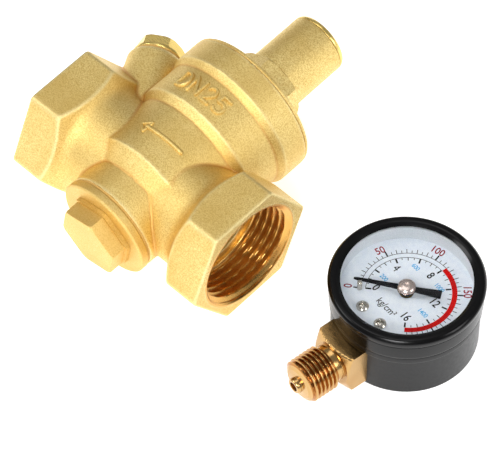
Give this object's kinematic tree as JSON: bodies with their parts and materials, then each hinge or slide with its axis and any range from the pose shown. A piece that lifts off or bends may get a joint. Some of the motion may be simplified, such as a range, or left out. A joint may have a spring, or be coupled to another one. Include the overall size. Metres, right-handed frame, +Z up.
{
  "type": "pressure reducing valve",
  "caption": "Cast brass piston pressure reducing valve with threaded ends, bonnet and spring tube, gauge port plug, and its round pressure gauge lying beside it.",
  "frame": {"origin": "on the flow axis, at the middle of the inlet's threaded wall, 7.6 mm inside the mouth", "axes": "+X out of the inlet along the flow axis; +Z up from the surface the object lies on; the bonnet points along +Y, 5.06 degrees up"},
  "size_m": [0.1374, 0.0955, 0.0459],
  "materials": {
    "cast_brass": "sand-cast and blasted, satin",
    "turned_brass": "turned, bright edges",
    "bonnet_brass": "forged and blasted, turned edges",
    "stem_brass": "machined",
    "movement_brass": "stamped and turned",
    "steel": "turned stainless",
    "spring_steel": "drawn wire, light oil",
    "small_screw_steel": "bright",
    "hub_metal": "pale turned metal",
    "fibre": "pressed fibre",
    "black_rubber": "moulded",
    "black_paint": "semi-gloss black enamel",
    "bezel_paint": "semi-gloss black enamel",
    "pale_plastic": "pale moulded ring",
    "dial_paint": "pale printed face",
    "pointer_paint": "black lacquer",
    "clear_glass": "clear"
  },
  "bodies": {
    "valve": {"valve_body": "cast_brass", "seat_ring": "steel", "bottom_plug": "turned_brass", "bottom_plug_seal": "fibre", "bonnet": "bonnet_brass", "bonnet_seal": "fibre", "end_ring": "turned_brass", "gauge_port_plug": "turned_brass", "gauge_port_seal": "fibre"},
    "piston_set": {"valve_stem": "steel", "disc_holder": "turned_brass", "seat_disc": "black_rubber", "disc_retainer": "turned_brass", "guide_o_ring": "black_rubber", "piston": "turned_brass", "piston_o_ring": "black_rubber", "stem_nut": "turned_brass", "main_spring": "spring_steel"},
    "spring_plate": {"upper_spring_plate": "turned_brass"},
    "adjuster": {"adjusting_screw": "turned_brass"},
    "gauge": {"gauge_case": "black_paint", "gauge_bezel": "bezel_paint", "gauge_lens": "clear_glass", "lens_gasket": "black_rubber", "dial_spacer": "pale_plastic", "gauge_dial": "dial_paint", "dial_posts": "movement_brass", "dial_screws": "small_screw_steel", "pointer_stop_pin": "small_screw_steel", "gauge_stem": "stem_brass", "bourdon_tube": "movement_brass", "movement_back_plate": "movement_brass", "movement_front_plate": "movement_brass", "movement_pillars": "movement_brass", "movement_screws": "small_screw_steel"},
    "pointer_set": {"pointer_arbor": "movement_brass", "pointer": "pointer_paint", "pointer_hub": "hub_metal", "hairspring": "spring_steel"},
    "sector": {"sector_gear": "movement_brass"},
    "link": {"tip_link": "movement_brass"},
    "tube_tip": {"tube_tip_block": "movement_brass"}
  },
  "joints": [
    {"name": "piston_travel", "type": "slide", "parent": "valve", "child": "piston_set", "axis": [0, 0.9961, 0.0882], "range_m": [0, 0.003], "deforming": ["main_spring"]},
    {"name": "plate_travel", "type": "slide", "parent": "valve", "child": "spring_plate", "axis": [0, 0.9961, 0.0882], "range_m": [-0.001, 0.0022], "deforming": ["main_spring"]},
    {"name": "adjuster_turn", "type": "hinge", "parent": "spring_plate", "child": "adjuster", "pos_m": [-0.0294, 0.05777, 0.00512], "axis": [0, 0.9961, 0.0882], "range_deg": [-360, 792]},
    {"name": "gauge_lift", "type": "slide", "parent": "valve", "child": "gauge", "axis": [0, 0, 1], "range_m": [0, 0.06]},
    {"name": "pointer_turn", "type": "hinge", "parent": "gauge", "child": "pointer_set", "pos_m": [0.04686, 0.0214, -0.00489], "axis": [0, 0, 1], "range_deg": [-270, 0]},
    {"name": "sector_turn", "type": "hinge", "parent": "gauge", "child": "sector", "pos_m": [0.0501, 0.01141, -0.00689], "axis": [0, 0, 1], "range_deg": [0, 45]},
    {"name": "link_turn", "type": "hinge", "parent": "sector", "child": "link", "pos_m": [0.05402, 0.0092, -0.00639], "axis": [0, 0, 1], "range_deg": [-45, 0]},
    {"name": "tip_travel", "type": "slide", "parent": "gauge", "child": "tube_tip", "axis": [0.1288, 0.9917, 0], "range_m": [0, 0.00345], "deforming": ["bourdon_tube"]}
  ],
  "couplings": [
    {"joint": "plate_travel", "follows": "adjuster_turn", "m_per_rad": 0.00015915},
    {"joint": "sector_turn", "follows": "pointer_turn", "ratio": -0.16667},
    {"joint": "link_turn", "follows": "pointer_turn", "ratio": 0.16667},
    {"joint": "tip_travel", "follows": "pointer_turn", "m_per_rad": -0.00073084}
  ]
}
